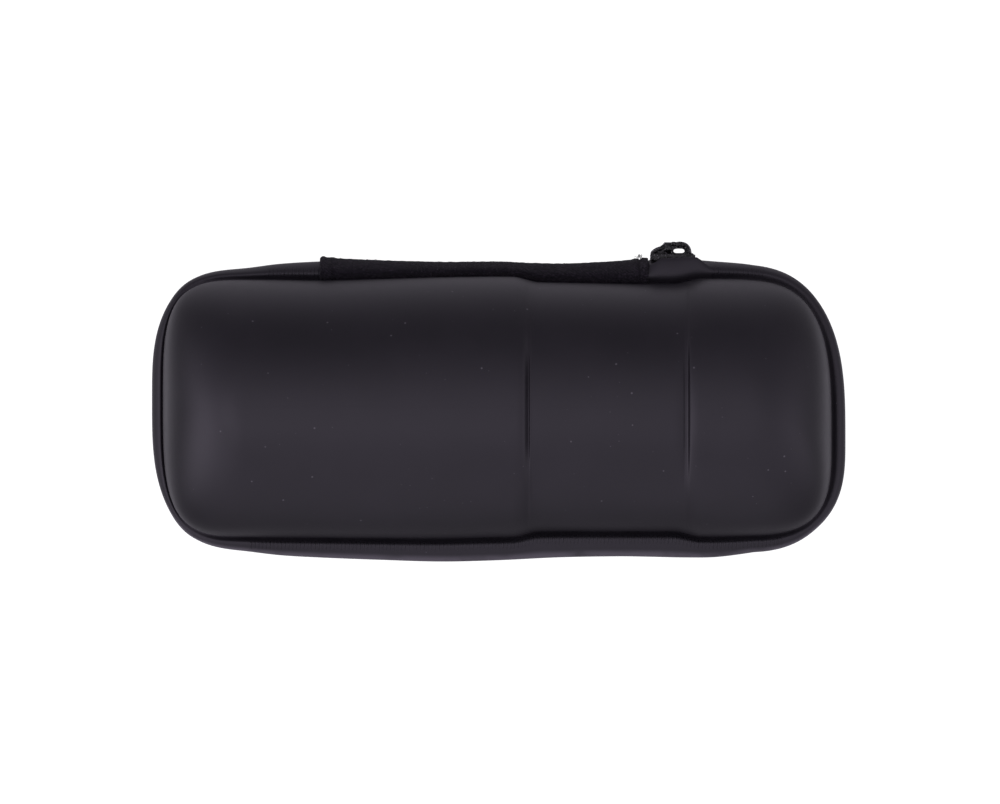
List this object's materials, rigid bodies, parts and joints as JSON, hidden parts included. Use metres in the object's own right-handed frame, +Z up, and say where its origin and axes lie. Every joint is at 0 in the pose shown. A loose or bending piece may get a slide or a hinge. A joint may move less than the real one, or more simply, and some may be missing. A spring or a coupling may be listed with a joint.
{
  "type": "bottle bag",
  "caption": "Hard-shell case shaped like a drinking bottle, with a waist for a bottle cage, closed by a zip round three sides and a woven hinge.",
  "frame": {"origin": "on the flat of the back shell that the bag rests on, half way between the base's rim and the neck's rim, under the shells' middle line", "axes": "+X from the bottle's base to its neck, +Y to the side of the woven hinge, +Z up through the front shell's crown"},
  "size_m": [0.1942, 0.0894, 0.0731],
  "materials": {
    "shell_skin": "smooth matt coated foam",
    "coated_tape": "coated zip tape, satin, ribbed next to the seam",
    "zip_chain": "woven-in plastic chain",
    "webbing": "twill woven strip, matt",
    "black_metal": "black lacquered, glossy"
  },
  "bodies": {
    "bag": {"front_shell": "shell_skin", "back_shell": "shell_skin", "zip_tape_front": "coated_tape", "zip_tape_back": "coated_tape", "zip_coil": "zip_chain", "hinge_gusset": "webbing", "zip_slider": "black_metal"},
    "pull": {"zip_pull": "black_metal"}
  },
  "joints": [
    {"name": "pull_swing", "type": "hinge", "parent": "bag", "child": "pull", "pos_m": [0.04755, 0.04496, 0.0362], "axis": [1, 0, 0], "range_deg": [0, 180]}
  ]
}
